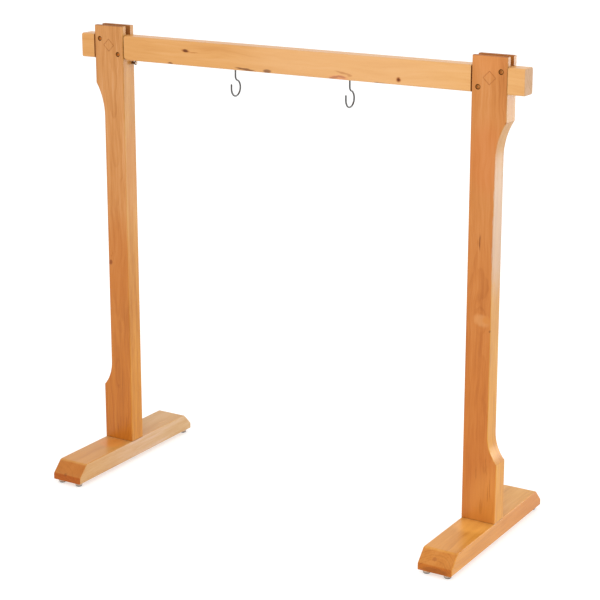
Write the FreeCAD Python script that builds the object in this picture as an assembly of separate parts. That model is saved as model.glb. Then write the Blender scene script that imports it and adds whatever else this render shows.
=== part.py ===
import FreeCAD, Part
import math
import os

os.makedirs("parts", exist_ok=True)

# Wooden gong stand. Millimetres, +Z up, X along the crossbar, Y from the front to the back.
# The origin is the centre of the footprint, on the floor.

# ---- driving dimensions -------------------------------------------------------------
gap_between_posts = 890.0      # clear width the gong hangs in
post_width = 80.0              # post, seen from the front
post_thickness = 44.0          # post, front to back
post_length = 1012.0
waist_cut = 22.5               # how far the outer edge of a post is cut back
full_width_end = 135.0         # length at each end of a post that keeps the full width
upper_arc_length = 78.0        # height over which the upper concave arc runs out
lower_arc_length = 60.0        # height over which the lower concave arc runs out
post_edge_radius = 2.5

foot_length = 454.0
foot_height = 42.0
foot_bevel_run = 27.0          # top bevel at each end of a foot, measured along the foot
foot_bevel_drop = 28.0
foot_edge_radius = 3.0
foot_shoulder_radius = 10.0    # where the top runs into the bevel
foot_nose_radius = 7.0         # where the bevel runs into the end

bumper_diameter = 18.0
bumper_height = 10.0
bumper_taper = 1.0             # how much smaller its radius is at the floor
bumper_rim_radius = 3.5
bumper_side_inset = 15.5       # bumper centre from the side of the foot
bumper_end_inset = 14.0        # bumper centre from the end of the foot

front_cheek = 13.0             # front wall of the fork
slot_width = 17.0              # slot of the fork, front to back
bar_below_top = 21.0           # top of the bar under the top of the posts
bar_height = 56.0
bar_thickness = 40.0
bar_overhang = 38.5            # bar end beyond the outer face of each post
web_clearance = 0.15           # web to cheek, each side
shoulder_gap_left = 2.0        # gap at the left hand side of each post
shoulder_gap_right = 0.6       # gap at the right hand side of each post
bar_edge_radius = 5.0
bar_end_radius = 2.0
shoulder_corner_radius = 9.0   # lower corner of the shoulder beside the left post

hook_spacing = 294.0           # between the two gong hooks
hook_wire = 4.0
hook_bowl_radius = 18.0        # centre line of the wire
hook_bowl_shift = 1.5          # bowl centre behind the shank
hook_bowl_drop = 43.0          # bowl centre under the bar
hook_neck_radius = 10.0
hook_tip_rise = 9.0            # straight tip above the bowl centre
hook_grip = 36.0               # length screwed into the bar

peg_drop = 10.0                # mallet peg on the left post, under the bar
peg_depth = 14.0               # peg axis behind the middle of the post
peg_diameter = 4.0
peg_grip = 22.0                # length screwed into the post
peg_sleeve_diameter = 6.4
peg_sleeve_length = 9.0
peg_head_diameter = 10.0
peg_head_height = 3.0

bolt_diameter = 6.0            # bolts through the fork
bolt_head_diameter = 10.0
bolt_head_height = 6.0
bolt_socket = 5.0              # hexagon socket across the flats
bolt_length = 35.0
bolt_counterbore = 11.6
bolt_counterbore_depth = 7.5
bolt_edge_inset = 14.5
bolt_upper_drop = 31.0         # under the top of the post
bolt_lower_drop = 65.0
insert_diameter = 9.0
insert_length = 12.0
insert_recess = 1.0            # end of the insert below the back of the post

foot_bolt_diameter = 8.0
foot_bolt_head_diameter = 13.0
foot_bolt_head_height = 8.0
foot_bolt_socket = 6.0
foot_bolt_length = 70.0
foot_bolt_spread = 44.0        # between the two bolts of one foot
foot_bolt_hole_depth = 50.0    # clearance hole up into the post
foot_counterbore = 18.0
foot_counterbore_depth = 14.0
washer_diameter = 16.0
washer_thickness = 1.6
barrel_diameter = 12.0
barrel_length = 24.0
barrel_rise = 27.0             # barrel nut centre above the bottom of the post

dowel_diameter = 10.0
dowel_length = 50.0

thread_clearance = 0.05        # radial, shaft in its threaded or turned hole
bolt_clearance = 0.25          # radial, bolt through plain wood

mark_half = 15.0               # engraved lozenge, centre to corner
mark_line = 1.3
mark_depth = 0.5
mark_drop = 45.0               # centre under the top of the post

# ---- levels and stations ------------------------------------------------------------
foot_bottom = bumper_height
foot_top = foot_bottom + foot_height
post_top = foot_top + post_length
bar_top = post_top - bar_below_top
bar_bottom = bar_top - bar_height
front = -post_thickness / 2.0
back = post_thickness / 2.0
slot_front = front + front_cheek
slot_back = slot_front + slot_width
bar_front = front
bar_back = bar_front + bar_thickness
bar_middle = (bar_front + bar_back) / 2.0
inner = gap_between_posts / 2.0
outer = inner + post_width
post_centre = inner + post_width / 2.0
bar_end = outer + bar_overhang

V = FreeCAD.Vector
UP = V(0, 0, 1)
BACKWARD = V(0, 1, 0)
ALONG = V(1, 0, 0)


def save(node, shape):
    shape.exportStep("parts/" + node + ".step")


def group(solids):
    return Part.makeCompound(solids)


def block(x0, x1, y0, y1, z0, z1):
    return Part.makeBox(x1 - x0, y1 - y0, z1 - z0, V(x0, y0, z0))


def rod(diameter, length, start, direction):
    return Part.makeCylinder(diameter / 2.0, length, start, direction)


def hexagon(across_flats, depth, start, direction):
    # Hexagonal prism for a bolt socket, standing on start and running in direction.
    corner = across_flats / math.sqrt(3.0)
    points = []
    for i in range(7):
        a = math.radians(60.0 * i)
        points.append(V(corner * math.cos(a), corner * math.sin(a), 0))
    prism = Part.Face(Part.makePolygon(points)).extrude(V(0, 0, depth))
    turn = FreeCAD.Rotation(UP, direction)
    prism.Placement = FreeCAD.Placement(start, turn)
    return prism


def fillet_where(shape, radius, test):
    edges = []
    for edge in shape.Edges:
        if test(edge):
            edges.append(edge)
    return shape.makeFillet(radius, edges)


def is_line(edge, direction):
    if not isinstance(edge.Curve, Part.Line):
        return False
    return abs(abs(edge.Curve.Direction.dot(direction)) - 1.0) < 1e-6


def arc_point(run, length, share):
    # Point on a circular arc that leaves the narrow edge tangentially and reaches the full
    # width after length. Returns (height above the tangent point, distance cut back).
    radius = (length * length + run * run) / (2.0 * run)
    height = length * share
    return height, run - (radius - math.sqrt(radius * radius - height * height))


def post_blank(side):
    # Post outline in the X-Z plane. The inner edge is straight, the outer edge is cut back
    # between two concave arcs. side is +1 for the right post and -1 for the left one.
    x_in = side * inner
    x_out = side * outer
    x_waist = side * (outer - waist_cut)
    z_low = foot_top + full_width_end
    z_low_end = z_low + lower_arc_length
    z_high = post_top - full_width_end
    z_high_end = z_high - upper_arc_length
    low_h, low_cut = arc_point(waist_cut, lower_arc_length, 0.5)
    high_h, high_cut = arc_point(waist_cut, upper_arc_length, 0.5)
    low_mid = V(side * (outer - low_cut), front, z_low_end - low_h)
    high_mid = V(side * (outer - high_cut), front, z_high_end + high_h)
    p1 = V(x_in, front, foot_top)
    p2 = V(x_out, front, foot_top)
    p3 = V(x_out, front, z_low)
    p4 = V(x_waist, front, z_low_end)
    p5 = V(x_waist, front, z_high_end)
    p6 = V(x_out, front, z_high)
    p7 = V(x_out, front, post_top)
    p8 = V(x_in, front, post_top)
    edges = [
        Part.makeLine(p1, p2),
        Part.makeLine(p2, p3),
        Part.Arc(p3, low_mid, p4).toShape(),
        Part.makeLine(p4, p5),
        Part.Arc(p5, high_mid, p6).toShape(),
        Part.makeLine(p6, p7),
        Part.makeLine(p7, p8),
        Part.makeLine(p8, p1),
    ]
    solid = Part.Face(Part.Wire(edges)).extrude(V(0, post_thickness, 0))

    def long_edge(edge):
        box = edge.BoundBox
        flat_in_y = box.YLength < 0.001
        at_bottom = box.ZMax < foot_top + 0.001
        return flat_in_y and not at_bottom

    return fillet_where(solid, post_edge_radius, long_edge)


def bolt_stations(side):
    # The upper bolt sits near the outer edge, the lower one near the inner edge.
    upper = (side * (outer - bolt_edge_inset), post_top - bolt_upper_drop)
    lower = (side * (inner + bolt_edge_inset), post_top - bolt_lower_drop)
    return {"upper": upper, "lower": lower}


def foot_bolt_stations(side):
    middle = side * post_centre
    return [middle - foot_bolt_spread / 2.0, middle + foot_bolt_spread / 2.0]


def lozenge(side, half, depth):
    x = side * post_centre
    z = post_top - mark_drop
    corners = [V(x - half, front, z), V(x, front, z + half), V(x + half, front, z)]
    corners += [V(x, front, z - half), V(x - half, front, z)]
    return Part.Face(Part.makePolygon(corners)).extrude(V(0, depth, 0))


def make_post(side):
    post = post_blank(side)
    x0 = min(side * inner, side * outer)
    x1 = max(side * inner, side * outer)
    slot = block(x0 - 1, x1 + 1, slot_front, slot_back, bar_bottom, post_top + 1)
    post = post.cut(slot)

    # Soften the long slot edges on top of both cheeks.
    def slot_rim(edge):
        box = edge.BoundBox
        on_slot = abs(box.YMin - slot_front) < 0.01 or abs(box.YMin - slot_back) < 0.01
        return is_line(edge, ALONG) and on_slot and box.ZMin > post_top - 0.01

    post = fillet_where(post, 1.2, slot_rim)

    # Counterbored bolt holes through the front cheek and insert holes in the rear cheek.
    for x, z in bolt_stations(side).values():
        bore = rod(bolt_counterbore, bolt_counterbore_depth, V(x, front, z), BACKWARD)
        hole = rod(bolt_diameter + 2 * bolt_clearance, post_thickness, V(x, front, z), BACKWARD)
        seat_start = back - insert_recess - insert_length
        seat_length = insert_recess + insert_length + 1.0
        seat_diameter = insert_diameter + 2 * thread_clearance
        seat = rod(seat_diameter, seat_length, V(x, seat_start, z), BACKWARD)
        post = post.cut(bore).cut(hole).cut(seat)

    # Long holes for the foot bolts, cross holes for the barrel nuts, open at the back.
    for x in foot_bolt_stations(side):
        hole_diameter = foot_bolt_diameter + 2 * bolt_clearance
        hole = rod(hole_diameter, foot_bolt_hole_depth, V(x, 0, foot_top), UP)
        seat_diameter = barrel_diameter + 2 * thread_clearance
        seat_start = V(x, -barrel_length / 2.0, foot_top + barrel_rise)
        seat = rod(seat_diameter, back + barrel_length / 2.0 + 1.0, seat_start, BACKWARD)
        post = post.cut(hole).cut(seat)

    # Pilot hole for the mallet peg, in the left post only.
    if side < 0:
        pilot_diameter = peg_diameter + 2 * thread_clearance
        post = post.cut(rod(pilot_diameter, peg_grip + 2.0, peg_point(-peg_grip - 1.0), ALONG))

    # Blind hole for the locating dowel.
    dowel_hole = rod(
        dowel_diameter + 2 * thread_clearance,
        dowel_length / 2.0 + 1.0,
        V(side * post_centre, 0, foot_top),
        UP,
    )
    post = post.cut(dowel_hole)

    # Plain engraved lozenge between the two bolts.
    groove = lozenge(side, mark_half, mark_depth)
    groove = groove.cut(lozenge(side, mark_half - mark_line * math.sqrt(2.0), mark_depth))
    return post.cut(groove)


def make_foot(side):
    half = foot_length / 2.0
    z_bevel = foot_top - foot_bevel_drop
    x0 = min(side * inner, side * outer)
    corners = [
        V(x0, -half, foot_bottom),
        V(x0, half, foot_bottom),
        V(x0, half, z_bevel),
        V(x0, half - foot_bevel_run, foot_top),
        V(x0, -half + foot_bevel_run, foot_top),
        V(x0, -half, z_bevel),
        V(x0, -half, foot_bottom),
    ]
    foot = Part.Face(Part.makePolygon(corners)).extrude(V(post_width, 0, 0))

    def crosswise_at(z):
        return lambda edge: is_line(edge, ALONG) and abs(edge.BoundBox.ZMax - z) < 0.01

    def side_edge(edge):
        return edge.BoundBox.XLength < 0.001

    foot = fillet_where(foot, foot_shoulder_radius, crosswise_at(foot_top))
    foot = fillet_where(foot, foot_nose_radius, crosswise_at(z_bevel))
    foot = fillet_where(foot, foot_edge_radius, side_edge)

    # Counterbored holes from below for the two bolts.
    for x in foot_bolt_stations(side):
        bore = rod(foot_counterbore, foot_counterbore_depth, V(x, 0, foot_bottom), UP)
        hole = rod(foot_bolt_diameter + 2 * bolt_clearance, foot_height, V(x, 0, foot_bottom), UP)
        foot = foot.cut(bore).cut(hole)

    depth = dowel_length / 2.0 + 1.0
    dowel_hole = rod(
        dowel_diameter + 2 * thread_clearance,
        depth,
        V(side * post_centre, 0, foot_top - depth),
        UP,
    )
    return foot.cut(dowel_hole)


def make_bar():
    bar = block(-bar_end, bar_end, bar_front, bar_back, bar_bottom, bar_top)

    # Housings for the two forks leave a thin web. The gaps beside a post are uneven:
    # the bar has taken up its play towards the left.
    web_front = slot_front + web_clearance
    web_back = slot_back - web_clearance
    stations = [
        (-outer - shoulder_gap_left, -inner + shoulder_gap_right),
        (inner - shoulder_gap_left, outer + shoulder_gap_right),
    ]
    for x0, x1 in stations:
        front_cut = block(x0, x1, bar_front - 1, web_front, bar_bottom - 1, bar_top + 1)
        back_cut = block(x0, x1, web_back, bar_back + 1, bar_bottom - 1, bar_top + 1)
        bar = bar.cut(front_cut).cut(back_cut)

    # The front lower corner of the shoulder beside the left post is rounded off.
    shoulder_x = -inner + shoulder_gap_right

    def shoulder_foot(edge):
        box = edge.BoundBox
        in_front = box.YMax < web_front + 0.01
        at_shoulder = abs(box.XMin - shoulder_x) < 0.01 and box.ZMax < bar_bottom + 0.01
        return is_line(edge, BACKWARD) and in_front and at_shoulder

    bar = fillet_where(bar, shoulder_corner_radius, shoulder_foot)

    # One radius runs along the bottom edges, round that corner and up the shoulder.
    def on_outside(box):
        return abs(box.YMin - bar_front) < 0.01 or abs(box.YMin - bar_back) < 0.01

    def lower_edge(edge):
        box = edge.BoundBox
        if box.YLength > 0.001 or not on_outside(box):
            return False
        at_bottom = is_line(edge, ALONG) and box.ZMax < bar_bottom + 0.01
        at_shoulder = is_line(edge, UP) and abs(box.XMin - shoulder_x) < 0.01
        round_corner = isinstance(edge.Curve, Part.Circle)
        return at_bottom or round_corner or (at_shoulder and box.YMin < bar_front + 0.01)

    def upper_edge(edge):
        box = edge.BoundBox
        return is_line(edge, ALONG) and on_outside(box) and box.ZMin > bar_top - 0.01

    def end_rim(edge):
        box = edge.BoundBox
        return box.XLength < 0.001 and abs(abs(box.XMin) - bar_end) < 0.01

    bar = fillet_where(bar, bar_edge_radius, lower_edge)
    bar = fillet_where(bar, bar_edge_radius, upper_edge)
    bar = fillet_where(bar, bar_end_radius, end_rim)

    for side in (-1, 1):
        for x, z in bolt_stations(side).values():
            hole = rod(
                bolt_diameter + 2 * bolt_clearance,
                bar_thickness,
                V(x, bar_front, z),
                BACKWARD,
            )
            bar = bar.cut(hole)
        pilot = rod(
            hook_wire + 2 * thread_clearance,
            hook_grip + 2.0,
            V(side * hook_spacing / 2.0, bar_middle, bar_bottom),
            UP,
        )
        bar = bar.cut(pilot)
    return bar


def make_gong_hook(x):
    # Round wire in the Y-Z plane: straight shank, short neck to the back, bowl round to the
    # front and a straight tip. The mouth of the hook faces forward.
    r = hook_wire / 2.0
    cy = bar_middle + hook_bowl_shift
    cz = bar_bottom - hook_bowl_drop
    reach = hook_bowl_radius + hook_neck_radius
    theta = math.acos((hook_neck_radius - hook_bowl_shift) / reach)
    neck_y = bar_middle + hook_neck_radius
    neck_z = cz + reach * math.sin(theta)

    def neck(a):
        return V(x, neck_y - hook_neck_radius * math.cos(a), neck_z - hook_neck_radius * math.sin(a))

    def bowl(a):
        return V(x, cy + hook_bowl_radius * math.cos(a), cz + hook_bowl_radius * math.sin(a))

    tip_start = bowl(math.pi)
    tip_end = V(x, tip_start.y, cz + hook_tip_rise)
    turn_end = -math.pi
    path = Part.Wire(
        [
            Part.makeLine(V(x, bar_middle, bar_bottom + hook_grip - 4.0), neck(0)),
            Part.Arc(neck(0), neck(theta / 2.0), neck(theta)).toShape(),
            Part.Arc(bowl(theta), bowl((theta + turn_end) / 2.0), bowl(turn_end)).toShape(),
            Part.makeLine(tip_start, tip_end),
        ]
    )
    start = V(x, bar_middle, bar_bottom + hook_grip - 4.0)
    profile = Part.Wire([Part.makeCircle(r, start, V(0, 0, -1))])
    wire = path.makePipeShell([profile], True, False)
    # Tapered screw point at the top end, rounded tip at the other.
    point = Part.makeCone(r, 0.6, 4.0, start, UP)
    ball = Part.makeSphere(r, tip_end)
    return wire.fuse(point).fuse(ball).removeSplitter()


def peg_point(distance):
    # Point on the peg axis, at a distance out from the inner face of the left post.
    return V(-inner + distance, peg_depth, bar_bottom - peg_drop)


def make_mallet_peg():
    # Flat-headed screw in the inner face of the left post, for the thong of the mallet.
    shank = rod(peg_diameter, peg_grip + peg_sleeve_length, peg_point(-peg_grip), ALONG)
    head = rod(peg_head_diameter, peg_head_height, peg_point(peg_sleeve_length), ALONG)
    outer_face = -inner + peg_sleeve_length + peg_head_height
    head = fillet_where(
        head,
        1.2,
        lambda e: isinstance(e.Curve, Part.Circle) and e.BoundBox.XMin > outer_face - 0.01,
    )
    slot_x = outer_face - 1.2
    z = bar_bottom - peg_drop
    slot = block(slot_x, slot_x + 3, peg_depth - 6, peg_depth + 6, z - 0.6, z + 0.6)
    return shank.fuse(head).cut(slot).removeSplitter()


def make_peg_sleeve():
    sleeve = rod(peg_sleeve_diameter, peg_sleeve_length, peg_point(0), ALONG)
    bore_diameter = peg_diameter + 2 * thread_clearance
    return sleeve.cut(rod(bore_diameter, peg_sleeve_length, peg_point(0), ALONG))


def make_fork_bolt(x, z):
    # Socket head bolt, head sunk in the front cheek.
    seat = front + bolt_counterbore_depth
    head = rod(bolt_head_diameter, bolt_head_height, V(x, seat - bolt_head_height, z), BACKWARD)
    head = fillet_where(
        head,
        0.6,
        lambda e: isinstance(e.Curve, Part.Circle) and e.BoundBox.YMax < seat - 1,
    )
    socket_start = V(x, seat - bolt_head_height - 0.5, z)
    socket = hexagon(bolt_socket, 3.5, socket_start, BACKWARD)
    shank = rod(bolt_diameter, bolt_length, V(x, seat, z), BACKWARD)
    return head.fuse(shank).cut(socket).removeSplitter()


def make_insert(x, z):
    # Threaded sleeve sunk in the rear cheek, with a screwdriver slot in its outer end.
    start = back - insert_recess - insert_length
    sleeve = rod(insert_diameter, insert_length, V(x, start, z), BACKWARD)
    bore = rod(bolt_diameter + 2 * thread_clearance, insert_length, V(x, start, z), BACKWARD)
    end = back - insert_recess
    slot = block(x - 0.7, x + 0.7, end - 1.5, end + 1.0, z - 6, z + 6)
    return sleeve.cut(bore).cut(slot)


def make_foot_bolt(x):
    seat = foot_bottom + foot_counterbore_depth - washer_thickness
    head_start = seat - foot_bolt_head_height
    head = rod(foot_bolt_head_diameter, foot_bolt_head_height, V(x, 0, head_start), UP)
    head = fillet_where(
        head,
        0.8,
        lambda e: isinstance(e.Curve, Part.Circle) and e.BoundBox.ZMax < seat - 1,
    )
    socket = hexagon(foot_bolt_socket, 4.5, V(x, 0, head_start - 0.5), UP)
    shank = rod(foot_bolt_diameter, foot_bolt_length, V(x, 0, seat), UP)
    return head.fuse(shank).cut(socket).removeSplitter()


def make_washer(x):
    seat = foot_bottom + foot_counterbore_depth - washer_thickness
    disc = rod(washer_diameter, washer_thickness, V(x, 0, seat), UP)
    return disc.cut(rod(foot_bolt_diameter + 0.5, washer_thickness, V(x, 0, seat), UP))


def make_barrel_nut(x):
    z = foot_top + barrel_rise
    start = -barrel_length / 2.0
    barrel = rod(barrel_diameter, barrel_length, V(x, start, z), BACKWARD)
    bore_diameter = foot_bolt_diameter + 2 * thread_clearance
    bore = rod(bore_diameter, barrel_diameter + 2, V(x, 0, z - barrel_diameter / 2.0 - 1), UP)
    slot = block(x - 4, x + 4, -start - 1.5, -start + 1, z - 0.8, z + 0.8)
    return barrel.cut(bore).cut(slot)


def make_dowel(side):
    start = V(side * post_centre, 0, foot_top - dowel_length / 2.0)
    dowel = rod(dowel_diameter, dowel_length, start, UP)
    return dowel.makeChamfer(1.0, [e for e in dowel.Edges if isinstance(e.Curve, Part.Circle)])


def make_bumper(x, y):
    # Soft dome glued under the foot.
    dome = Part.makeCone(
        bumper_diameter / 2.0 - bumper_taper,
        bumper_diameter / 2.0,
        bumper_height,
        V(x, y, 0),
        UP,
    )
    low_rim = lambda e: isinstance(e.Curve, Part.Circle) and e.BoundBox.ZMax < 0.01
    return fillet_where(dome, bumper_rim_radius, low_rim)


# ---- every node -----------------------------------------------------------------------
for name, side in (("left", -1), ("right", 1)):
    save(name + "_post", make_post(side))
    save(name + "_foot", make_foot(side))
    save(name + "_gong_hook", make_gong_hook(side * hook_spacing / 2.0))
    save(name + "_foot_dowel", make_dowel(side))
    save(name + "_foot_bolts", group([make_foot_bolt(x) for x in foot_bolt_stations(side)]))
    save(name + "_foot_washers", group([make_washer(x) for x in foot_bolt_stations(side)]))
    save(name + "_barrel_nuts", group([make_barrel_nut(x) for x in foot_bolt_stations(side)]))
    for level, (x, z) in bolt_stations(side).items():
        save(name + "_" + level + "_fork_bolt", make_fork_bolt(x, z))
        save(name + "_" + level + "_insert", make_insert(x, z))
    for end, y_sign in (("front", -1), ("back", 1)):
        y = y_sign * (foot_length / 2.0 - bumper_end_inset)
        x_outer = side * (outer - bumper_side_inset)
        x_inner = side * (inner + bumper_side_inset)
        save(name + "_" + end + "_outer_bumper", make_bumper(x_outer, y))
        save(name + "_" + end + "_inner_bumper", make_bumper(x_inner, y))

save("crossbar", make_bar())
save("mallet_peg", make_mallet_peg())
save("mallet_peg_sleeve", make_peg_sleeve())
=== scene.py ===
"""Looks for the wooden gong stand: materials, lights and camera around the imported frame.

Everything is in metres. X runs along the crossbar, Y from the front to the back, Z up.
"""

import math

import bpy
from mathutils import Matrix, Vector


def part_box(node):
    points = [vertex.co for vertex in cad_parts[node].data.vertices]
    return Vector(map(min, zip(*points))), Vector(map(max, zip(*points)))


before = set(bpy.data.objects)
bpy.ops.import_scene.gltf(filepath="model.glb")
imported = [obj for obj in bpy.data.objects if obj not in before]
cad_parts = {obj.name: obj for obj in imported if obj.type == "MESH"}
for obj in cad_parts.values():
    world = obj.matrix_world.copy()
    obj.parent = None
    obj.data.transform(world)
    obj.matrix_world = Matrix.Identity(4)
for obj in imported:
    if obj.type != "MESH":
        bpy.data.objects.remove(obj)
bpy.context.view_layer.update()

# ---- camera -------------------------------------------------------------------------
CAMERA_PLACE = (1.97491, -3.20803, 1.55060)
CAMERA_TURN = 31.35            # degrees, from +Y towards -X
CAMERA_PITCH = 13.99           # degrees below the horizon
CAMERA_LENS = 103.89           # millimetres on a 36 mm sensor
CAMERA_SHIFT = -0.1

# ---- places on the stand, read from the frame -----------------------------------------
POST_BOXES = {side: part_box(side + "_post") for side in ("left", "right")}
POST_FRONT = POST_BOXES["left"][0].y
ENGRAVING_HEIGHT = POST_BOXES["left"][1].z - 0.045
ENGRAVING_REACH = 0.0175       # the engraved lozenge lies within this sum of offsets
ENGRAVING_SKIN = 0.00015       # how far behind the front face the groove begins
FORK_BOLTS = ("upper_fork_bolt", "lower_fork_bolt")
COUNTERBORE_REACH = 0.0063     # from the bolt's axis, just past the wall of its counterbore
COUNTERBORE_FADE = 0.0003      # over which the painted shade fades in at that wall
COUNTERBORE_SKIN = (0.0002, 0.0012)    # behind the front face, where it begins and is full
SEAM_HEIGHTS = (0.0016, 0.0004)        # above the foot, where the seam fades in and is full
FORK_SLOT_REACH = 0.012        # the walls of the fork slots lie within this depth
BAR_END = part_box("crossbar")[1].x
BAR_STUB = 0.010               # the bar's own ends lie within this distance of BAR_END
BOLT_RIM_SHADE = (0.0034, 0.0043)    # from the bolt's axis, where the painted shade at its rim begins and is full
BOLT_SOCKET_HIGHLIGHT = (0.0030, 0.0026)         # and where the painted highlight in the socket fades in and is full
BUMPER_SHADE_HEIGHT = 0.0042     # the painted shade at a bumper's rim ends here


class Graph:
    """A material and short calls that build its node tree."""

    def __init__(self, name):
        self.material = bpy.data.materials.new(name)
        self.material.use_nodes = True
        self.tree = self.material.node_tree
        self.tree.nodes.clear()
        self.output = self.tree.nodes.new("ShaderNodeOutputMaterial")
        self.shader = self.tree.nodes.new("ShaderNodeBsdfPrincipled")
        self.tree.links.new(self.shader.outputs["BSDF"], self.output.inputs["Surface"])
        self.coordinates = self.tree.nodes.new("ShaderNodeTexCoord")

    @property
    def place(self):
        return self.coordinates.outputs["Object"]

    @property
    def normal(self):
        return self.coordinates.outputs["Normal"]

    def feed(self, socket, value):
        if isinstance(value, bpy.types.NodeSocket):
            self.tree.links.new(value, socket)
        else:
            socket.default_value = value

    def shade(self, **values):
        """Sets or links the shader's sockets, named with underscores for spaces."""
        for name, value in values.items():
            self.feed(self.shader.inputs[name.replace("_", " ")], value)

    def math(self, operation, *values, clamp=False):
        node = self.tree.nodes.new("ShaderNodeMath")
        node.operation = operation
        node.use_clamp = clamp
        for socket, value in zip(node.inputs, values):
            self.feed(socket, value)
        return node.outputs[0]

    def vector(self, operation, *values):
        node = self.tree.nodes.new("ShaderNodeVectorMath")
        node.operation = operation
        for socket, value in zip(node.inputs, values):
            self.feed(socket, value)
        single = operation in ("LENGTH", "DISTANCE", "DOT_PRODUCT")
        return node.outputs["Value" if single else "Vector"]

    def split(self, vector):
        node = self.tree.nodes.new("ShaderNodeSeparateXYZ")
        self.feed(node.inputs[0], vector)
        return node.outputs[0], node.outputs[1], node.outputs[2]

    def combine(self, x, y, z):
        node = self.tree.nodes.new("ShaderNodeCombineXYZ")
        for socket, value in zip(node.inputs, (x, y, z)):
            self.feed(socket, value)
        return node.outputs[0]

    def noise(self, vector, scale=1.0, detail=2.0, roughness=0.5):
        node = self.tree.nodes.new("ShaderNodeTexNoise")
        self.feed(node.inputs["Vector"], vector)
        node.inputs["Scale"].default_value = scale
        node.inputs["Detail"].default_value = detail
        node.inputs["Roughness"].default_value = roughness
        return node.outputs["Fac"]

    def cells(self, vector, scale=1.0):
        """Distance to the nearest cell point, and a random number for its cell."""
        node = self.tree.nodes.new("ShaderNodeTexVoronoi")
        self.feed(node.inputs["Vector"], vector)
        node.inputs["Scale"].default_value = scale
        red, _, _ = self.split(node.outputs["Color"])
        return node.outputs["Distance"], red

    def random(self, value):
        node = self.tree.nodes.new("ShaderNodeTexWhiteNoise")
        node.noise_dimensions = "1D"
        self.feed(node.inputs["W"], value)
        return node.outputs["Value"]

    def smooth(self, value, low, high, start=0.0, end=1.0):
        """Goes smoothly from start to end while value goes from low to high."""
        node = self.tree.nodes.new("ShaderNodeMapRange")
        node.interpolation_type = "SMOOTHSTEP"
        for name, given in zip(
            ("Value", "From Min", "From Max", "To Min", "To Max"),
            (value, low, high, start, end),
        ):
            self.feed(node.inputs[name], given)
        return node.outputs["Result"]

    def mix(self, factor, first, second, blend="MIX"):
        node = self.tree.nodes.new("ShaderNodeMix")
        node.data_type = "RGBA"
        node.blend_type = blend
        node.clamp_factor = True
        colours = [s for s in node.inputs if s.type == "RGBA"]
        self.feed(node.inputs["Factor"], factor)
        self.feed(colours[0], first)
        self.feed(colours[1], second)
        return [s for s in node.outputs if s.type == "RGBA"][0]

    def ramp(self, value, stops):
        node = self.tree.nodes.new("ShaderNodeValToRGB")
        self.feed(node.inputs["Fac"], value)
        elements = node.color_ramp.elements
        while len(elements) < len(stops):
            elements.new(0.5)
        for element, (position, colour) in zip(elements, stops):
            element.position = position
            element.color = colour
        return node.outputs["Color"]

    def mapped(self, vector, centre, size, turn=(0.0, 0.0, 0.0)):
        """The vector seen from centre, turned, in units of size."""
        node = self.tree.nodes.new("ShaderNodeMapping")
        node.vector_type = "TEXTURE"
        self.feed(node.inputs["Vector"], vector)
        node.inputs["Location"].default_value = centre
        node.inputs["Rotation"].default_value = turn
        node.inputs["Scale"].default_value = size
        return node.outputs["Vector"]

    def shaken(self, seen, scale, amount):
        """The place, moved about by noise over seen, so that what it draws gets ragged edges."""
        jitter = self.math("MULTIPLY_ADD", self.noise(seen, scale), 2 * amount, -amount)
        return self.vector("ADD", self.place, self.combine(jitter, jitter, jitter))

    def bump(self, height, distance, strength=1.0):
        node = self.tree.nodes.new("ShaderNodeBump")
        node.inputs["Strength"].default_value = strength
        node.inputs["Distance"].default_value = distance
        self.feed(node.inputs["Height"], height)
        return node.outputs["Normal"]


def both(*names):
    return [side + "_" + name for side in ("left", "right") for name in names]


def colour(red, green, blue):
    return (red, green, blue, 1.0)


def grey(value):
    return (value, value, value, 1.0)


def middle_of(node):
    low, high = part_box(node)
    return (low + high) / 2


# ---- wood -----------------------------------------------------------------------------
GRAIN = {"x": (1.0, 0.0, 0.0), "y": (0.0, 1.0, 0.0), "z": (0.0, 0.0, 1.0)}
FLAT = (0.0, 0.0, 0.0)
KNOT_BROWN = (0.13, 0.030, 0.001)
STREAK_BROWN = (0.33, 0.092, 0.005)
FLAME_RED = (0.30, 0.060, 0.022)
CHAR_BROWN = (0.15, 0.045, 0.009)
# painted shade: the brown that stands in for shade in the tight gaps at the bar's shoulders
PAINTED_SHOULDER_SHADE = (0.27, 0.060, 0.001)
# painted shade: the dark brown that stands in for shade on the counterbore walls
PAINTED_COUNTERBORE_SHADE = (0.22, 0.050, 0.001)
GROOVE_BROWN = (0.34, 0.090, 0.010)
# painted shade: the darker brown that stands in for shade inside the fork slots
PAINTED_SLOT_SHADE = (0.20, 0.055, 0.001)
FLECK_BROWN = (0.26, 0.075, 0.012)
SPLIT_BLACK = (0.06, 0.006, 0.0)
ROUND_KNOT = (0.15, 0.030, 0.001)
BEVEL_KNOT = (0.30, 0.075, 0.006)
KNOT_HALO = (0.36, 0.11, 0.02)
FLAME_HALO = (0.60, 0.19, 0.080)
FIGURE_HEART = (0.52, 0.185, 0.030)
PALE_WOOD = (0.78, 0.42, 0.16)
GOLD_WOOD = (0.70, 0.290, 0.055)
# painted sheen: a whitish colour that stands in for the varnish's highlight on a post's edge
PAINTED_SHEEN = (0.56, 0.50, 0.46)
AMBER_SHADE = (0.44, 0.115, 0.004)     # wide, weak changes of a board's colour
EDGE_SHADE = (0.48, 0.175, 0.038)
RED_SHADE = (0.52, 0.130, 0.020)
TOP_BLUSH = (0.70, 0.255, 0.072)
BAR_BLUSH = (0.66, 0.375, 0.175)
BEVEL_SHADE = (0.42, 0.12, 0.004)
ORANGE_BLUSH = (0.72, 0.22, 0.024)
LIGHT_BLUSH = (0.88, 0.42, 0.090)


def facing(graph, axis):
    """1 where the surface looks along the axis, 0 where it runs along it."""
    return graph.math("ABSOLUTE", graph.vector("DOT_PRODUCT", graph.normal, GRAIN[axis]))


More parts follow.
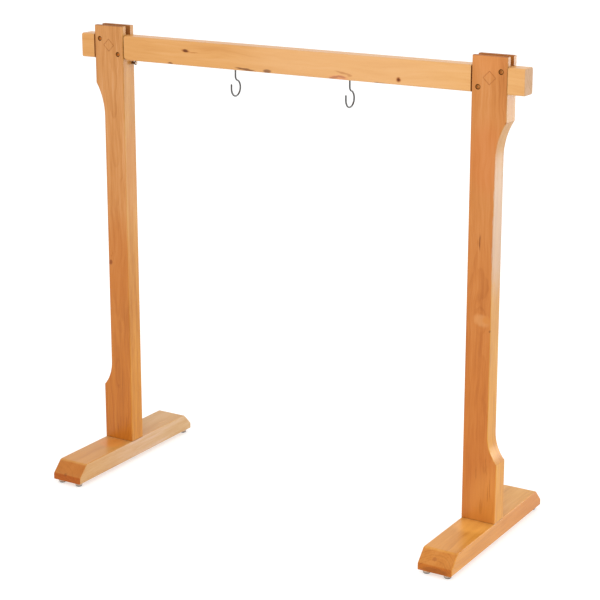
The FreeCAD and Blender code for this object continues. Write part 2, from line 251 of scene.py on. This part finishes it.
def axis_distance(graph, x, z, middle):
    """Distance from a front-to-back axis through middle."""
    flat = graph.combine(graph.math("SUBTRACT", x, middle.x), 0.0,
                         graph.math("SUBTRACT", z, middle.z))
    return graph.vector("LENGTH", flat)


def board_space(graph, grain, centre):
    """Two directions across the grain and one along it, from the board's centre."""
    x, y, z = graph.split(graph.vector("SUBTRACT", graph.place, centre))
    if grain == "z":
        return x, y, z
    if grain == "x":
        return z, y, x
    return x, z, y


def mark(offset, size, paint, strength, turn=FLAT):
    """A knot, streak, patch of colour, or a painted sheen: its centre from the board's lowest
    corner, half sizes, colour.
    """
    return offset, size, paint, strength, turn


def mark_mask(graph, point, centre, size, turn, soft=0.55):
    """1 inside an ellipsoid, fading to 0 at its rim."""
    offset = graph.mapped(point, centre, size, turn)
    reach = graph.vector("LENGTH", offset)
    return graph.smooth(reach, 1.0, 1.0 - soft)


def wood(name, node, grain, tones, pith, ring=0.0042, lean=(0.02, 0.01), seed=0.0,
         contrast=1.0, rings=1.0, end_tints_and_painted_light=((1.0, 1.0, 1.0), (1.0, 1.0, 1.0)),
         side_tints_and_painted_light=((1.0, 1.0, 1.0), (1.0, 1.0, 1.0)), marks=(), swirls=(), burns_and_painted_shade=(),
         end_tint=(0.62, 0.50, 0.40)):
    """Clear varnished, even grained wood cut from a log whose pith runs beside the board.

    tones are the dark, middle and light colours. The end tints tint them towards the low and the
    high end of the board: partly the board's own change of colour and partly painted light, darker
    towards the low end as painted shade and whiter with painted sheen towards the high end. The
    side tints do the same on the faces that look along X, where they are partly that face's own
    colour and partly painted light and painted sheen. pith is where the middle of the log is,
    across the board, and lean is how it slants along the board. marks are knots, streaks,
    patches of colour and painted sheen, as mark() makes them. swirls bend the rings round a
    place: (offset from the board's lowest corner, size, push). The darkenings laid over masks are
    real engraved and seam lines, and painted shade in recesses and tight gaps: (mask, colour,
    strength).
    """
    graph = Graph(name)
    low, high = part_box(node)
    centre = tuple((low + high) / 2)
    across, depth, along = board_space(graph, grain, centre)
    shifted = graph.math("ADD", along, seed)

    def along_scaled(factor):
        return graph.math("MULTIPLY", shifted, factor)

    # the grain wanders: everything drawn along it bends with this
    drift_a = graph.noise(graph.combine(across, depth, along_scaled(0.30)), scale=13.0)
    drift_b = graph.noise(graph.combine(depth, across, along_scaled(0.75)), scale=19.0)
    bent = graph.math("MULTIPLY_ADD", graph.math("SUBTRACT", drift_a, 0.5), 0.030, across)
    bent = graph.math("MULTIPLY_ADD", graph.math("SUBTRACT", drift_b, 0.5), 0.010, bent)

    # rings round the pith, uneven in width and in strength
    ripple = graph.noise(graph.combine(bent, depth, along_scaled(0.06)), scale=110.0)
    side = graph.math("SUBTRACT", bent, graph.math("MULTIPLY_ADD", along, lean[0], pith[0]))
    rear = graph.math("SUBTRACT", depth, graph.math("MULTIPLY_ADD", along, lean[1], pith[1]))
    radius = graph.vector("LENGTH", graph.combine(side, rear, 0.0))
    radius = graph.math("MULTIPLY_ADD", drift_b, 0.009, radius)
    radius = graph.math("MULTIPLY_ADD", ripple, 0.0022, radius)
    for offset, size, push in swirls:
        bulge = mark_mask(graph, graph.place, low + Vector(offset), size, FLAT, soft=1.0)
        radius = graph.math("MULTIPLY_ADD", bulge, push, radius)
    count = graph.math("DIVIDE", radius, ring)
    step = graph.math("FRACT", count)
    strength = graph.smooth(graph.random(graph.math("FLOOR", count)), 0.1, 1.0, 0.0, 1.0)
    late = graph.math("MULTIPLY", graph.smooth(step, 0.20, 0.88), graph.smooth(step, 1.0, 0.90))
    late = graph.math("MULTIPLY", late, strength)

    # streaks and fibres along the grain
    broad = graph.noise(graph.combine(bent, depth, along_scaled(0.08)), scale=60.0)
    streak = graph.noise(graph.combine(bent, depth, along_scaled(0.035)), scale=210.0,
                         detail=3.0, roughness=0.6)
    fibre = graph.noise(graph.combine(bent, depth, along_scaled(0.02)), scale=1000.0,
                        roughness=0.6)
    cloud = graph.noise(graph.combine(across, depth, along_scaled(0.40)), scale=12.0, detail=3.0)

    tone = 0.5
    for figure, amount in ((broad, 0.85), (cloud, 0.55), (streak, 0.80), (fibre, 0.55)):
        tone = graph.math("MULTIPLY_ADD", graph.math("SUBTRACT", figure, 0.5),
                          amount * contrast, tone)
    tone = graph.math("MULTIPLY_ADD", late, -0.20 * contrast * rings, tone)
    dark, middle, light = tones
    surface = graph.ramp(tone, ((0.0, colour(*dark)), (0.5, colour(*middle)),
                                (1.0, colour(*light))))
    reach = (high - low)["xyz".index(grain)] / 2
    # tints along the board and on the faces that look along X: partly the board's own colour,
    # partly painted light, darker as painted shade towards the low end and whiter with painted
    # sheen towards the high end
    drift = graph.math("MULTIPLY_ADD", graph.math("SUBTRACT", cloud, 0.5), 0.5 * reach, along)
    rise = graph.smooth(drift, -reach, reach)
    tint = graph.mix(rise, colour(*end_tints_and_painted_light[0]), colour(*end_tints_and_painted_light[1]))
    surface = graph.mix(1.0, surface, tint, blend="MULTIPLY")
    tint = graph.mix(rise, colour(*side_tints_and_painted_light[0]), colour(*side_tints_and_painted_light[1]))
    surface = graph.mix(graph.smooth(facing(graph, "x"), 0.4, 0.9), surface,
                        graph.mix(1.0, surface, tint, blend="MULTIPLY"))

    # short dark flecks, scattered
    fleck_place = graph.combine(across, depth, graph.math("MULTIPLY", shifted, 0.07))
    near, lot = graph.cells(fleck_place, scale=620.0)
    fleck = graph.math("MULTIPLY", graph.smooth(near, 0.26, 0.08), graph.smooth(lot, 0.86, 0.97))
    fleck = graph.math("MULTIPLY", fleck, 0.30 * contrast)
    surface = graph.mix(fleck, surface, colour(*FLECK_BROWN))

    # end grain drinks more varnish: darker, with the rings standing out
    end = graph.smooth(facing(graph, grain), 0.45, 0.95)
    pores = graph.noise(graph.place, scale=900.0, detail=2.0)
    end_tone = graph.math("MULTIPLY_ADD", late, -0.30 * rings, 1.0)
    end_tone = graph.math("MULTIPLY_ADD", graph.math("SUBTRACT", pores, 0.5), 0.5, end_tone)
    end_colour = graph.mix(1.0, surface, colour(*end_tint), blend="MULTIPLY")
    end_colour = graph.mix(1.0, end_colour, graph.combine(end_tone, end_tone, end_tone),
                           blend="MULTIPLY")
    surface = graph.mix(end, surface, end_colour)

    # knots, streaks and other marks at their own places
    shaken = graph.shaken(graph.combine(across, depth, along_scaled(0.16)), 300.0, 0.0022)
    for offset, size, paint, amount, turn in marks:
        mask = mark_mask(graph, shaken, low + Vector(offset), size, turn)
        surface = graph.mix(graph.math("MULTIPLY", mask, amount), surface, colour(*paint))
    # real burnt and seam lines, and painted shade in recesses and tight gaps, laid over their masks
    for mask, paint, amount in burns_and_painted_shade:
        surface = graph.mix(graph.math("MULTIPLY", mask(graph), amount), surface, colour(*paint))

    # satin varnish: the pores and fibres still show in it
    polish = graph.math("MULTIPLY_ADD", graph.math("SUBTRACT", streak, 0.5), 0.18, 0.34)
    polish = graph.math("MULTIPLY_ADD", graph.math("SUBTRACT", fibre, 0.5), 0.16, polish)
    polish = graph.math("MULTIPLY_ADD", end, 0.40, polish)
    relief = graph.math("MULTIPLY_ADD", fibre, 0.6, graph.math("MULTIPLY", streak, 0.4))
    relief = graph.math("SUBTRACT", relief, graph.math("MULTIPLY", fleck, 1.5))
    graph.shade(
        Base_Color=surface,
        Roughness=polish,
        IOR=1.36,
        Normal=graph.bump(relief, 0.00012, 0.6),
    )
    return graph.material


def engraving(side):
    """Mask of the engraved lozenge on the front of a post."""
    low, high = POST_BOXES[side]
    middle = (low.x + high.x) / 2

    def mask(graph):
        x, y, z = graph.split(graph.place)
        sideways = graph.math("ABSOLUTE", graph.math("SUBTRACT", x, middle))
        upright = graph.math("ABSOLUTE", graph.math("SUBTRACT", z, ENGRAVING_HEIGHT))
        inside = graph.math("LESS_THAN", graph.math("ADD", sideways, upright), ENGRAVING_REACH)
        sunk = graph.smooth(y, POST_FRONT + ENGRAVING_SKIN, POST_FRONT + 3 * ENGRAVING_SKIN)
        front = graph.math("LESS_THAN", y, 0.0)
        return graph.math("MULTIPLY", graph.math("MULTIPLY", inside, sunk), front)

    return mask


def counterbore_shade(side, bolt):
    """Mask of painted shade on the wall of a bolt's counterbore on the front of a post."""
    middle = middle_of(side + "_" + bolt)

    def mask(graph):
        x, y, z = graph.split(graph.place)
        near = graph.smooth(axis_distance(graph, x, z, middle),
                            COUNTERBORE_REACH, COUNTERBORE_REACH - COUNTERBORE_FADE)
        sunk = graph.smooth(y, *[POST_FRONT + depth for depth in COUNTERBORE_SKIN])
        front = graph.math("LESS_THAN", y, 0.0)
        return graph.math("MULTIPLY", graph.math("MULTIPLY", near, sunk), front)

    return mask


def seam(graph):
    """Mask of the dark line where a post stands on its foot."""
    _, _, z = graph.split(graph.place)
    bottom = POST_BOXES["left"][0].z
    return graph.smooth(z, *[bottom + height for height in SEAM_HEIGHTS])


def fork_slot_shade(graph):
    """Mask of painted shade on the inner walls of a post's fork."""
    _, y, _ = graph.split(graph.place)
    inside = graph.math("LESS_THAN", graph.math("ABSOLUTE", y), FORK_SLOT_REACH)
    return graph.math("MULTIPLY", graph.smooth(facing(graph, "y"), 0.5, 0.9), inside)


# the engraving and the seam are real lines; the fork slots and counterbores get painted shade
def post_burns_and_painted_shade(side, slot_shade_strength):
    burns_and_painted_shade = [(engraving(side), GROOVE_BROWN, 0.45), (seam, CHAR_BROWN, 0.70),
             (fork_slot_shade, PAINTED_SLOT_SHADE, slot_shade_strength)]
    for bolt in FORK_BOLTS:
        burns_and_painted_shade.append((counterbore_shade(side, bolt), PAINTED_COUNTERBORE_SHADE, 0.85))
    return burns_and_painted_shade


def bar_shoulder_shade(graph):
    """Mask of painted shade on the bar's shoulders, which stand close against the posts."""
    x, _, _ = graph.split(graph.place)
    inward = graph.math("LESS_THAN", graph.math("ABSOLUTE", x), BAR_END - BAR_STUB)
    return graph.math("MULTIPLY", graph.smooth(facing(graph, "x"), 0.5, 0.9), inward)


POST_TONES = ((0.34, 0.090, 0.006), (0.500, 0.170, 0.026), (0.60, 0.250, 0.062))


def make_left_post_wood():
    knot = (0.0294, 0.0, 0.4465)
    cathedral = (0.0440, 0.0, 0.1750)
    marks = [
        mark(knot, (0.0058, 0.008, 0.0080), ROUND_KNOT, 0.92),
        mark((0.0315, 0.0, 0.4620), (0.0018, 0.006, 0.0045), STREAK_BROWN, 0.55),
        mark((0.0360, 0.0, 0.4690), (0.0014, 0.006, 0.0050), STREAK_BROWN, 0.45),
        mark((0.0450, 0.0, 0.4740), (0.0012, 0.006, 0.0040), STREAK_BROWN, 0.40),
        mark((0.0460, 0.0, 0.1850), (0.0055, 0.008, 0.0700), STREAK_BROWN, 0.22),
        mark((0.0530, 0.0, 0.2800), (0.0035, 0.008, 0.0650), STREAK_BROWN, 0.26, (0.0, 0.03, 0.0)),
        mark((0.0550, 0.0, 0.0800), (0.0040, 0.008, 0.0600), STREAK_BROWN, 0.24),
        mark((0.0360, 0.0, 0.0550), (0.0030, 0.008, 0.0450), STREAK_BROWN, 0.22),
        mark((0.0500, 0.0, 0.4500), (0.0480, 0.012, 0.1500), AMBER_SHADE, 0.34),
        mark((0.0800, 0.022, 0.6600), (0.0070, 0.034, 0.1500), EDGE_SHADE, 0.40),
    ]
    for across, height, reach in ((0.0552, 0.147, 0.042), (0.0466, 0.038, 0.030),
                                  (0.0640, 0.040, 0.034), (0.0395, 0.026, 0.020)):
        marks.append(mark((across, 0.0, height), (0.0014, 0.006, reach), STREAK_BROWN, 0.72))
    return wood(
        "left_post_wood", "left_post", "z",
        POST_TONES, end_tints_and_painted_light=((0.94, 0.84, 0.41), (1.04, 1.34, 2.55)),
        side_tints_and_painted_light=((1.12, 1.40, 1.45), (0.92, 0.98, 0.72)),
        pith=(0.008, -0.055), lean=(0.004, 0.034), seed=1.7, contrast=0.88, marks=marks,
        swirls=((knot, (0.016, 0.030, 0.030), 0.006),
                (cathedral, (0.015, 0.030, 0.085), 0.013)),
        burns_and_painted_shade=post_burns_and_painted_shade("left", 0.68),
    )


def make_right_post_wood():
    figure = (0.0365, 0.0, 0.4520)
    split = (0.0282, 0.0, 0.6200)
    marks = [
        mark(split, (0.0016, 0.006, 0.0185), SPLIT_BLACK, 0.98, (0.0, 0.05, 0.0)),
        mark(split, (0.0042, 0.006, 0.0260), STREAK_BROWN, 0.35),
        mark(figure, (0.0240, 0.010, 0.0175), PALE_WOOD, 0.25, (0.0, 0.30, 0.0)),
        mark((0.0480, 0.0, 0.4540), (0.0125, 0.012, 0.0115), FIGURE_HEART, 0.85),
        mark((0.0560, 0.0, 0.4310), (0.0022, 0.006, 0.0035), KNOT_BROWN, 0.60),
        mark((0.0790, 0.0, 0.8760), (0.0040, 0.020, 0.0040), STREAK_BROWN, 0.50),
        mark((0.0600, 0.0, 0.0200), (0.0620, 0.012, 0.1350), GOLD_WOOD, 0.42),
        mark((0.0458, 0.0, 0.0340), (0.0045, 0.008, 0.0240), STREAK_BROWN, 0.32),
        mark((0.0400, 0.0, 0.8000), (0.0560, 0.012, 0.1000), RED_SHADE, 0.30),
        mark((0.0400, 0.0, 1.0100), (0.0560, 0.012, 0.0500), TOP_BLUSH, 0.22),
        # painted sheen: a whitish strip that stands in for the highlight down the right post's
        # outer edge
        mark((0.0575, 0.022, 0.6550), (0.0018, 0.060, 0.1900), PAINTED_SHEEN, 0.36),
    ]
    for across, height, reach in ((0.0500, 0.125, 0.020), (0.0545, 0.130, 0.024),
                                  (0.0585, 0.122, 0.018), (0.0660, 0.076, 0.034),
                                  (0.0615, 0.068, 0.026), (0.0330, 0.110, 0.020)):
        marks.append(mark((across, 0.0, height), (0.0013, 0.006, reach), STREAK_BROWN, 0.55))
    return wood(
        "right_post_wood", "right_post", "z",
        POST_TONES, end_tints_and_painted_light=((0.94, 0.80, 0.49), (0.99, 1.08, 1.55)),
        side_tints_and_painted_light=((1.28, 1.84, 1.66), (0.98, 1.31, 1.64)),
        pith=(-0.020, 0.080), lean=(-0.010, 0.020), seed=5.3, contrast=0.78, marks=marks,
        swirls=((figure, (0.020, 0.030, 0.035), -0.007),),
        burns_and_painted_shade=post_burns_and_painted_shade("right", 0.40),
    )


def make_bar_wood():
    left_knot = (0.2952, 0.0, 0.0340)
    right_knot = (0.8394, 0.0, 0.0119)
    marks = (
        mark(left_knot, (0.0150, 0.008, 0.0050), STREAK_BROWN, 0.70, (0.0, 0.10, 0.0)),
        mark(left_knot, (0.0095, 0.008, 0.0044), KNOT_BROWN, 0.98, (0.0, 0.10, 0.0)),
        mark((0.3175, 0.0, 0.0315), (0.0160, 0.008, 0.0014), STREAK_BROWN, 0.50),
        mark((0.2525, 0.0, 0.0030), (0.0090, 0.010, 0.0028), KNOT_BROWN, 0.85),
        mark((0.4555, 0.0, 0.0045), (0.0330, 0.012, 0.0032), KNOT_BROWN, 0.90, (0.0, 0.075, 0.0)),
        mark((0.5125, 0.0, 0.0045), (0.0135, 0.013, 0.0054), KNOT_BROWN, 0.98),
        mark((0.6935, 0.0, 0.0045), (0.0300, 0.013, 0.0070), FLAME_HALO, 0.80),
        mark((0.6825, 0.0, 0.0045), (0.0180, 0.013, 0.0036), FLAME_RED, 0.95, (0.0, -0.22, 0.0)),
        mark((0.7005, 0.0, 0.0070), (0.0150, 0.013, 0.0030), FLAME_RED, 0.85, (0.0, 0.10, 0.0)),
        mark((0.7035, 0.0, 0.0160), (0.0240, 0.010, 0.0030), STREAK_BROWN, 0.75, (0.0, 0.14, 0.0)),
        mark((0.7215, 0.0, 0.0115), (0.0080, 0.010, 0.0034), STREAK_BROWN, 0.65),
        mark((0.7940, 0.0, 0.0016), (0.0180, 0.012, 0.0022), KNOT_BROWN, 0.80),
        mark((0.6900, 0.0, 0.0280), (0.3200, 0.012, 0.0700), BAR_BLUSH, 0.32),
        mark(right_knot, (0.0078, 0.008, 0.0072), KNOT_HALO, 0.95),
        mark(right_knot, (0.0046, 0.008, 0.0044), KNOT_BROWN, 0.98),
    )
    swirls = (
        (left_knot, (0.030, 0.030, 0.012), 0.005),
        ((0.6935, 0.0, 0.0070), (0.050, 0.030, 0.016), 0.008),
        ((0.4935, 0.0, 0.0), (0.060, 0.030, 0.012), 0.006),
        (right_knot, (0.022, 0.030, 0.012), 0.005),
    )
    return wood(
        "crossbar_wood", "crossbar", "x",
        ((0.48, 0.195, 0.040), (0.615, 0.308, 0.098), (0.70, 0.395, 0.175)),
        pith=(0.030, 0.070), lean=(0.012, -0.016), seed=9.1, contrast=0.6, rings=0.5,
        end_tints_and_painted_light=((0.96, 0.92, 0.85), (1.03, 1.07, 1.15)),
        marks=marks, swirls=swirls, burns_and_painted_shade=((bar_shoulder_shade, PAINTED_SHOULDER_SHADE, 0.95),),
        end_tint=(0.80, 0.94, 1.55),
    )


def make_left_foot_wood():
    marks = (
        mark((0.060, 0.357, 0.042), (0.0012, 0.018, 0.006), PALE_WOOD, 0.60, (0.0, 0.0, -0.25)),
        mark((0.035, 0.0, 0.016), (0.0060, 0.010, 0.005), KNOT_BROWN, 0.40),
        mark((0.040, 0.175, 0.042), (0.0450, 0.040, 0.010), ORANGE_BLUSH, 0.42),
        mark((0.040, 0.013, 0.032), (0.0600, 0.022, 0.020), BEVEL_SHADE, 0.30),
    )
    return wood(
        "left_foot_wood", "left_foot", "y",
        ((0.40, 0.135, 0.012), (0.520, 0.230, 0.042), (0.61, 0.310, 0.095)),
        end_tints_and_painted_light=((1.0, 0.96, 0.92), (1.03, 1.31, 2.60)),
        side_tints_and_painted_light=((1.04, 1.38, 3.10), (1.00, 1.11, 1.42)),
        pith=(-0.030, -0.060), lean=(0.02, 0.015), seed=3.1, contrast=0.62, rings=0.5,
        marks=marks, end_tint=(0.72, 0.385, 0.095),
    )


def make_right_foot_wood():
    marks = (
        mark((0.035, 0.012, 0.026), (0.0070, 0.014, 0.0042), BEVEL_KNOT, 0.52),
        mark((0.042, 0.0, 0.005), (0.0420, 0.012, 0.0090), KNOT_BROWN, 0.35),
        mark((0.040, 0.170, 0.042), (0.0500, 0.045, 0.010), LIGHT_BLUSH, 0.48),
    )
    return wood(
        "right_foot_wood", "right_foot", "y",
        ((0.45, 0.155, 0.012), (0.610, 0.262, 0.041), (0.70, 0.350, 0.096)),
        end_tints_and_painted_light=((0.99, 0.96, 0.93), (1.03, 1.18, 1.66)),
        side_tints_and_painted_light=((1.03, 1.04, 1.08), (0.85, 0.61, 0.31)),
        pith=(0.004, -0.045), lean=(0.02, 0.015), seed=7.9, contrast=0.8, rings=0.6,
        marks=marks, end_tint=(0.72, 0.47, 0.20),
    )


def make_dowel_wood():
    return wood(
        "dowel_wood", "left_foot_dowel", "z",
        ((0.50, 0.220, 0.070), (0.640, 0.340, 0.140), (0.72, 0.420, 0.200)),
        pith=(0.030, 0.020), ring=0.0020, contrast=0.7,
    )


# ---- metal ----------------------------------------------------------------------------
def metal(name, tint, tarnish, roughness, brushed=(1.0, 1.0, 1.0), wear=0.35, bump=0.00004,
          painted_shade_and_highlight=()):
    """Plated metal: cloudy tarnish, hairline scratches and small changes of polish.

    The last argument holds painted shade and painted highlights laid over it: (mask, colour,
    strength).
    """
    graph = Graph(name)
    cloud = graph.noise(graph.place, scale=140.0, detail=4.0, roughness=0.6)
    grain = graph.noise(graph.vector("MULTIPLY", graph.place, brushed), scale=1600.0, detail=3.0)
    near, lot = graph.cells(graph.vector("MULTIPLY", graph.place, (2.2, 0.35, 0.8)), scale=900.0)
    scratch = graph.math("MULTIPLY", graph.smooth(near, 0.10, 0.02), graph.smooth(lot, 0.72, 0.9))
    tone = graph.math("MULTIPLY_ADD", graph.math("SUBTRACT", grain, 0.5), 0.5,
                      graph.smooth(cloud, 0.32, 0.68))
    tone = graph.math("MULTIPLY", tone, wear, clamp=True)
    surface = graph.mix(tone, colour(*tint), colour(*tarnish))
    surface = graph.mix(graph.math("MULTIPLY", scratch, 0.4), surface,
                        colour(*[min(1.0, 1.5 * value) for value in tint]))
    for mask, paint, amount in painted_shade_and_highlight:
        surface = graph.mix(graph.math("MULTIPLY", mask(graph), amount), surface, colour(*paint))
    polish = graph.math("MULTIPLY_ADD", graph.math("SUBTRACT", cloud, 0.5), 0.25, roughness)
    polish = graph.math("MULTIPLY_ADD", graph.math("SUBTRACT", grain, 0.5), 0.20, polish)
    height = graph.math("SUBTRACT", grain, scratch)
    graph.shade(Base_Color=surface, Metallic=1.0, Roughness=polish,
                Normal=graph.bump(height, bump, 0.5))
    return graph.material


def make_hook_steel():
    return metal("hook_steel", (0.125, 0.122, 0.118), (0.042, 0.040, 0.038), 0.24,
                 brushed=(1.0, 1.0, 0.12))


def make_peg_steel():
    return metal("peg_steel", (0.20, 0.150, 0.112), (0.090, 0.062, 0.044), 0.32)


def make_bolt_steel():
    return metal("bolt_steel", (0.34, 0.150, 0.055), (0.16, 0.060, 0.022), 0.34)


def fork_bolt_reach(graph):
    """Distance from the axis of the nearest fork bolt."""
    x, _, z = graph.split(graph.place)
    nearest = 1.0
    for name in both(*FORK_BOLTS):
        distance = axis_distance(graph, x, z, middle_of(name))
        nearest = graph.math("MINIMUM", distance, nearest)
    return nearest


# painted shade at the rim of a fork bolt's head, standing in for the shaded counterbore
def bolt_rim_shade(graph):
    return graph.smooth(fork_bolt_reach(graph), *BOLT_RIM_SHADE)


# painted highlight that stands in for the reflection in a fork bolt's socket
def bolt_socket_highlight(graph):
    return graph.smooth(fork_bolt_reach(graph), *BOLT_SOCKET_HIGHLIGHT)


def make_fork_bolt_steel():
    """Dark bronzed heads, with painted shade at the rim and a painted highlight in the socket."""
    return metal("fork_bolt_steel", (0.40, 0.160, 0.038), (0.28, 0.105, 0.022), 0.36,
                 painted_shade_and_highlight=((bolt_rim_shade, (0.12, 0.034, 0.004), 0.85),
                         (bolt_socket_highlight, (0.58, 0.265, 0.080), 0.8)))


def make_nut_steel():
    return metal("nut_steel", (0.46, 0.45, 0.43), (0.24, 0.23, 0.21), 0.38)


def make_insert_brass():
    return metal("insert_brass", (0.62, 0.44, 0.17), (0.30, 0.19, 0.07), 0.32)


# ---- rubber and plastic -----------------------------------------------------------------
def make_sleeve_rubber():
    """Dark brown hose rubber with a dusty bloom."""
    graph = Graph("sleeve_rubber")
    bloom = graph.noise(graph.place, scale=420.0, detail=4.0, roughness=0.65)
    speck = graph.noise(graph.place, scale=2600.0, detail=2.0)
    tone = graph.math("MULTIPLY_ADD", speck, 0.35, graph.math("MULTIPLY", bloom, 0.65))
    surface = graph.ramp(tone, ((0.30, colour(0.070, 0.026, 0.008)),
                                (0.75, colour(0.150, 0.068, 0.028))))
    polish = graph.math("MULTIPLY_ADD", bloom, 0.30, 0.45)
    graph.shade(Base_Color=surface, Roughness=polish, Specular_IOR_Level=0.4,
                Normal=graph.bump(tone, 0.00008, 0.5))
    return graph.material


def make_bumper_rubber():
    """Clear, faintly milky polyurethane, yellowed, with painted shade at its rim near the floor."""
    graph = Graph("bumper_rubber")
    haze = graph.noise(graph.place, scale=180.0, detail=3.0)
    fine = graph.noise(graph.place, scale=1500.0, detail=2.0)
    surface = graph.ramp(haze, ((0.30, colour(0.43, 0.34, 0.27)), (0.70, colour(0.64, 0.51, 0.40))))
    _, _, z = graph.split(graph.place)
    # painted shade: a dark band near the floor that stands in for the shade at the bumper's rim
    rim_shade = graph.smooth(z, BUMPER_SHADE_HEIGHT, 0.5 * BUMPER_SHADE_HEIGHT)
    surface = graph.mix(rim_shade, surface, colour(0.050, 0.032, 0.022))
    polish = graph.math("MULTIPLY_ADD", fine, 0.14, 0.10)
    clear = graph.smooth(haze, 0.30, 0.75, 0.22, 0.10)
    graph.shade(Base_Color=surface, Roughness=polish, IOR=1.48, Transmission_Weight=clear,
                Normal=graph.bump(fine, 0.00004, 0.4))
    return graph.material


# ---- dressing the frame -----------------------------------------------------------------
def dress(nodes, material):
    for name in nodes:
        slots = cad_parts[name].data.materials
        if len(slots) == 0:
            slots.append(material)
        for index in range(len(slots)):
            slots[index] = material


def dress_frame():
    dress(["left_post"], make_left_post_wood())
    dress(["right_post"], make_right_post_wood())
    dress(["crossbar"], make_bar_wood())
    dress(["left_foot"], make_left_foot_wood())
    dress(["right_foot"], make_right_foot_wood())
    dress(both("foot_dowel"), make_dowel_wood())
    dress(both("gong_hook"), make_hook_steel())
    dress(["mallet_peg"], make_peg_steel())
    dress(["mallet_peg_sleeve"], make_sleeve_rubber())
    dress(both(*FORK_BOLTS), make_fork_bolt_steel())
    dress(both("foot_bolts", "foot_washers"), make_bolt_steel())
    dress(both("barrel_nuts"), make_nut_steel())
    dress(both("upper_insert", "lower_insert"), make_insert_brass())
    dress(both("front_outer_bumper", "front_inner_bumper", "back_outer_bumper",
               "back_inner_bumper"), make_bumper_rubber())


# ---- studio -----------------------------------------------------------------------------
FLOOR_RADIUS = 14.0
FLOOR_SIDES = 96
FLOOR_GLOW = 0.58              # the floor's own light, which carries it to white
BACKDROP_STRENGTH = 1.1


def make_floor():
    mesh = bpy.data.meshes.new("studio_floor")
    ring = [(FLOOR_RADIUS * math.cos(2 * math.pi * i / FLOOR_SIDES),
             FLOOR_RADIUS * math.sin(2 * math.pi * i / FLOOR_SIDES), 0.0)
            for i in range(FLOOR_SIDES)]
    mesh.from_pydata(ring, [], [list(range(FLOOR_SIDES))])
    floor = bpy.data.objects.new("studio_floor", mesh)
    bpy.context.scene.collection.objects.link(floor)
    graph = Graph("studio_floor")
    mottle = graph.noise(graph.place, scale=3.0, detail=3.0)
    graph.shade(Base_Color=graph.ramp(mottle, ((0.3, grey(0.50)), (0.7, grey(0.52)))),
                Roughness=0.9, Specular_IOR_Level=0.1,
                Emission_Color=grey(1.0), Emission_Strength=FLOOR_GLOW)
    mesh.materials.append(graph.material)


def make_softbox(name, place, target, size, power):
    light = bpy.data.lights.new(name, "AREA")
    light.shape = "RECTANGLE"
    light.size, light.size_y = size
    light.energy = power
    lamp = bpy.data.objects.new(name, light)
    lamp.location = place
    lamp.rotation_euler = (Vector(target) - Vector(place)).to_track_quat("-Z", "Y").to_euler()
    lamp.visible_camera = False
    bpy.context.scene.collection.objects.link(lamp)


def make_lights():
    world = bpy.data.worlds.new("studio")
    world.use_nodes = True
    backdrop = world.node_tree.nodes["Background"]
    backdrop.inputs["Color"].default_value = grey(1.0)
    backdrop.inputs["Strength"].default_value = BACKDROP_STRENGTH
    bpy.context.scene.world = world
    make_softbox("key_light", (0.8, -2.4, 2.5), (0.0, 0.0, 0.9), (1.6, 1.2), 22.0)
    make_softbox("side_light", (2.9, 4.4, 0.95), (0.4, 0.0, 0.6), (1.8, 1.9), 60.0)
    make_softbox("floor_glow", (2.3, 3.5, 0.03), (2.3, 3.5001, 1.0), (1.6, 2.8), 14.0)


def make_camera():
    data = bpy.data.cameras.new("camera")
    data.sensor_width = 36.0
    data.lens = CAMERA_LENS
    data.shift_y = CAMERA_SHIFT
    camera = bpy.data.objects.new("camera", data)
    camera.location = CAMERA_PLACE
    camera.rotation_euler = (math.radians(90.0 - CAMERA_PITCH), 0.0, math.radians(CAMERA_TURN))
    bpy.context.scene.collection.objects.link(camera)
    bpy.context.scene.camera = camera
    bpy.context.scene.view_settings.view_transform = "Standard"


make_camera()
make_lights()
make_floor()
dress_frame()
